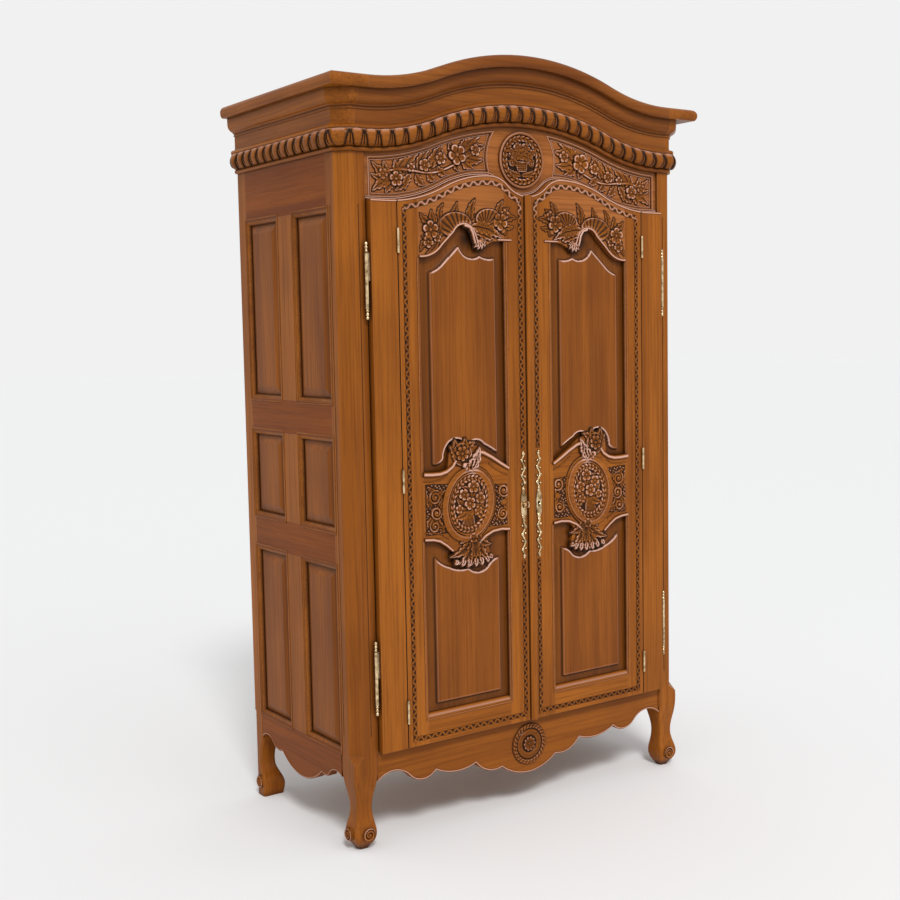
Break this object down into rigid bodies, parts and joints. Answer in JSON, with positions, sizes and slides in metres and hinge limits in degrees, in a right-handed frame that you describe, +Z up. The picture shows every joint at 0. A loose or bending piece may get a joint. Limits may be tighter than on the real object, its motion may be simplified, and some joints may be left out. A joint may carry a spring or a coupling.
{
  "type": "carved armoire",
  "caption": "Tall carved armoire with an arched cornice, bifold doors on fiche and butt hinges, shelves, raised side panels and short scrolled legs.",
  "frame": {"origin": "on the floor, below the middle of the whole outline", "axes": "+Z up, -Y out of the front, +X to the right seen from the front"},
  "size_m": [1.293, 0.639, 2.158],
  "materials": {
    "wood_upright_grain": "satin lacquer, grain upright",
    "wood_level_grain": "satin lacquer, grain level",
    "wood_returns": "satin lacquer, grain front to back",
    "wood_panels": "satin lacquer",
    "wood_carved": "satin lacquer, dark in the hollows",
    "inner_wood": "thin matt lacquer",
    "aged_brass": "aged, polished high spots",
    "dark_steel": "browned"
  },
  "bodies": {
    "case": {"frieze_board": "wood_level_grain", "frieze_medallion": "wood_carved", "front_apron": "wood_level_grain", "apron_rosette": "wood_carved", "front_cornice_band": "wood_level_grain", "front_cornice_slab": "wood_level_grain", "dust_board": "inner_wood", "bottom_board": "inner_wood", "shelves": "inner_wood", "shelf_cleats": "inner_wood", "back_boards": "inner_wood", "left_front_post": "wood_upright_grain", "left_rear_post": "wood_upright_grain", "left_side_rails": "wood_level_grain", "left_side_muntins": "wood_upright_grain", "left_side_apron": "wood_level_grain", "left_side_panels": "wood_panels", "left_cornice_band": "wood_returns", "left_cornice_slab": "wood_returns", "left_fiche_post_halves": "aged_brass", "right_front_post": "wood_upright_grain", "right_rear_post": "wood_upright_grain", "right_side_rails": "wood_level_grain", "right_side_muntins": "wood_upright_grain", "right_side_apron": "wood_level_grain", "right_side_panels": "wood_panels", "right_cornice_band": "wood_returns", "right_cornice_slab": "wood_returns", "right_fiche_post_halves": "aged_brass"},
    "left_outer_leaf": {"left_outer_leaf": "wood_upright_grain", "left_fiche_leaf_halves": "aged_brass", "left_butt_outer_halves": "aged_brass"},
    "left_main_leaf": {"left_hinge_stile": "wood_upright_grain", "left_lock_stile": "wood_upright_grain", "left_top_rail": "wood_level_grain", "left_carved_rail": "wood_level_grain", "left_bottom_rail": "wood_level_grain", "left_upper_panel": "wood_panels", "left_lower_panel": "wood_panels", "left_butt_inner_halves": "aged_brass", "left_escutcheon": "aged_brass", "lock_case": "dark_steel"},
    "right_outer_leaf": {"right_outer_leaf": "wood_upright_grain", "right_fiche_leaf_halves": "aged_brass", "right_butt_outer_halves": "aged_brass"},
    "right_main_leaf": {"right_hinge_stile": "wood_upright_grain", "right_lock_stile": "wood_upright_grain", "right_top_rail": "wood_level_grain", "right_carved_rail": "wood_level_grain", "right_bottom_rail": "wood_level_grain", "right_upper_panel": "wood_panels", "right_lower_panel": "wood_panels", "right_butt_inner_halves": "aged_brass", "right_escutcheon": "aged_brass", "right_astragal": "wood_upright_grain", "lock_keep": "dark_steel", "bolt_staples": "dark_steel"},
    "key": {"key": "aged_brass"},
    "lock_bolt": {"lock_bolt": "dark_steel"},
    "door_bolt": {"door_bolt": "dark_steel"}
  },
  "joints": [
    {"name": "left_outer_leaf_hinge", "type": "hinge", "parent": "case", "child": "left_outer_leaf", "pos_m": [-0.53, -0.2825, 1], "axis": [0, 0, -1], "range_deg": [0, 180]},
    {"name": "left_main_leaf_hinge", "type": "hinge", "parent": "left_outer_leaf", "child": "left_main_leaf", "pos_m": [-0.437, -0.294, 1], "axis": [0, 0, -1], "range_deg": [0, 80]},
    {"name": "right_outer_leaf_hinge", "type": "hinge", "parent": "case", "child": "right_outer_leaf", "pos_m": [0.53, -0.2825, 1], "axis": [0, 0, 1], "range_deg": [0, 180]},
    {"name": "right_main_leaf_hinge", "type": "hinge", "parent": "right_outer_leaf", "child": "right_main_leaf", "pos_m": [0.437, -0.294, 1], "axis": [0, 0, 1], "range_deg": [0, 80]},
    {"name": "key_turn", "type": "hinge", "parent": "left_main_leaf", "child": "key", "pos_m": [-0.028, -0.2905, 0.902], "axis": [0, 1, 0], "range_deg": [0, 90]},
    {"name": "lock_bolt_slide", "type": "slide", "parent": "left_main_leaf", "child": "lock_bolt", "axis": [1, 0, 0], "range_m": [0, 0.012]},
    {"name": "door_bolt_slide", "type": "slide", "parent": "right_main_leaf", "child": "door_bolt", "axis": [0, 0, 1], "range_m": [0, 0.02]}
  ],
  "couplings": [
    {"joint": "key_turn", "follows": "lock_bolt_slide", "rad_per_m": 130.9}
  ]
}
